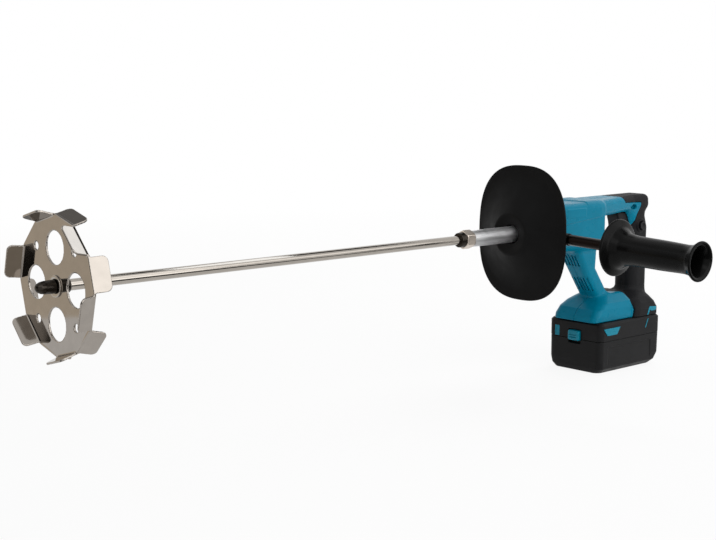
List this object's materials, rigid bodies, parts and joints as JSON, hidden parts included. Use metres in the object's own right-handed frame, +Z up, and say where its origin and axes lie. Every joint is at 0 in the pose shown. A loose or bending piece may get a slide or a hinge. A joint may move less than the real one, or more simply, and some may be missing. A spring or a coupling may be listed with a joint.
{
  "type": "mixing drill",
  "caption": "Cordless mixing drill with a D-shaped rear handle, slide-on battery, side handle, splash guard and a long rod carrying a toothed mixing disc.",
  "frame": {"origin": "centre of the battery's flat underside", "axes": "+X from the mixing disc along the spindle axis towards the rear grip, +Z up from the battery's underside, +Y away from the side handle"},
  "size_m": [0.828, 0.2975, 0.2479],
  "materials": {
    "shell_teal": "moulded glass-filled nylon, blue-green, fine satin texture",
    "grip_rubber": "soft black overmould",
    "black_plastic": "black glass-filled nylon, fine texture",
    "guard_black": "flexible black sheet, faint lay lines",
    "handle_black": "black moulded grip, satin",
    "battery_black": "black polycarbonate blend, fine texture",
    "trim_teal": "blue-green trim, smooth",
    "disc_steel": "stainless sheet, mirror polished",
    "bright_steel": "ground and plated steel, bright",
    "dark_hardware": "steel with dark oxide finish",
    "gear_steel": "hardened steel, machined",
    "case_alloy": "die-cast aluminium, dark coated",
    "motor_iron": "laminated electrical steel",
    "copper": "bare copper alloy",
    "board_green": "circuit board laminate",
    "cell_wrap": null
  },
  "bodies": {
    "tool": {"housing_left": "shell_teal", "housing_right": "shell_teal", "grip_cover_left": "grip_rubber", "grip_cover_right": "grip_rubber", "housing_screws": "dark_hardware", "gear_case": "case_alloy", "gear_case_screws": "gear_steel", "motor_plate": "case_alloy", "ring_gear": "gear_steel", "spindle_bearing_front": "gear_steel", "spindle_bearing_rear": "gear_steel", "motor_stator": "motor_iron", "motor_windings": "copper", "motor_bearing_front": "gear_steel", "motor_bearing_rear": "gear_steel", "bearing_spider": "black_plastic", "switch_body": "black_plastic", "control_board": "board_green", "battery_rail": "black_plastic", "tool_terminals": "copper", "splash_guard": "guard_black", "guard_ring": "dark_hardware"},
    "mixer": {"spindle": "gear_steel", "coupling_sleeve": "bright_steel", "mixing_rod": "bright_steel", "mixing_disc": "disc_steel", "disc_washers": "bright_steel", "disc_collar": "dark_hardware", "disc_cap": "dark_hardware"},
    "rotor": {"rotor_shaft": "gear_steel", "rotor_core": "motor_iron", "cooling_fan": "black_plastic"},
    "planet_a": {"planet_a": "gear_steel"},
    "planet_b": {"planet_b": "gear_steel"},
    "planet_c": {"planet_c": "gear_steel"},
    "trigger": {"trigger": "black_plastic"},
    "lock_button": {"lock_button": "black_plastic"},
    "handle_clamp": {"handle_clamp": "handle_black"},
    "side_handle": {"handle_bar": "dark_hardware", "handle_grip": "handle_black"},
    "battery": {"battery_lower_case": "battery_black", "battery_upper_case": "battery_black", "battery_cells": "cell_wrap", "battery_contacts": "copper", "battery_inserts": "trim_teal"},
    "release_button": {"release_button": "trim_teal"}
  },
  "joints": [
    {"name": "spindle_spin", "type": "hinge", "parent": "tool", "child": "mixer", "pos_m": [-0.2, 0, 0.1716], "axis": [1, 0, 0], "continuous": true},
    {"name": "rotor_spin", "type": "hinge", "parent": "tool", "child": "rotor", "pos_m": [-0.1, 0, 0.1716], "axis": [1, 0, 0], "continuous": true},
    {"name": "planet_a_spin", "type": "hinge", "parent": "mixer", "child": "planet_a", "pos_m": [-0.132, 0, 0.1581], "axis": [1, 0, 0], "continuous": true},
    {"name": "planet_b_spin", "type": "hinge", "parent": "mixer", "child": "planet_b", "pos_m": [-0.132, 0.01169, 0.17835], "axis": [1, 0, 0], "continuous": true},
    {"name": "planet_c_spin", "type": "hinge", "parent": "mixer", "child": "planet_c", "pos_m": [-0.132, -0.01169, 0.17835], "axis": [1, 0, 0], "continuous": true},
    {"name": "trigger_pull", "type": "slide", "parent": "tool", "child": "trigger", "axis": [1, 0, 0], "range_m": [0, 0.007], "stiffness_N_per_m": 800, "springref_m": -0.004},
    {"name": "lock_press", "type": "slide", "parent": "tool", "child": "lock_button", "axis": [0, 1, 0], "range_m": [0, 0.0025], "stiffness_N_per_m": 1200, "springref_m": -0.001},
    {"name": "handle_swing", "type": "hinge", "parent": "tool", "child": "handle_clamp", "pos_m": [-0.148, 0, 0.1716], "axis": [1, 0, 0], "range_deg": [-180, 180]},
    {"name": "grip_turn", "type": "hinge", "parent": "handle_clamp", "child": "side_handle", "pos_m": [-0.148, 0, 0.1716], "axis": [0, -0.999, -0.0436], "continuous": true},
    {"name": "battery_slide", "type": "slide", "parent": "tool", "child": "battery", "axis": [-1, 0, 0], "range_m": [0, 0.09]},
    {"name": "button_press", "type": "slide", "parent": "battery", "child": "release_button", "axis": [0, 0, -1], "range_m": [0, 0.003], "stiffness_N_per_m": 1000, "springref_m": -0.002}
  ],
  "couplings": [
    {"joint": "rotor_spin", "follows": "spindle_spin", "ratio": 5},
    {"joint": "planet_a_spin", "follows": "spindle_spin", "ratio": -2.6667},
    {"joint": "planet_b_spin", "follows": "spindle_spin", "ratio": -2.6667},
    {"joint": "planet_c_spin", "follows": "spindle_spin", "ratio": -2.6667}
  ]
}
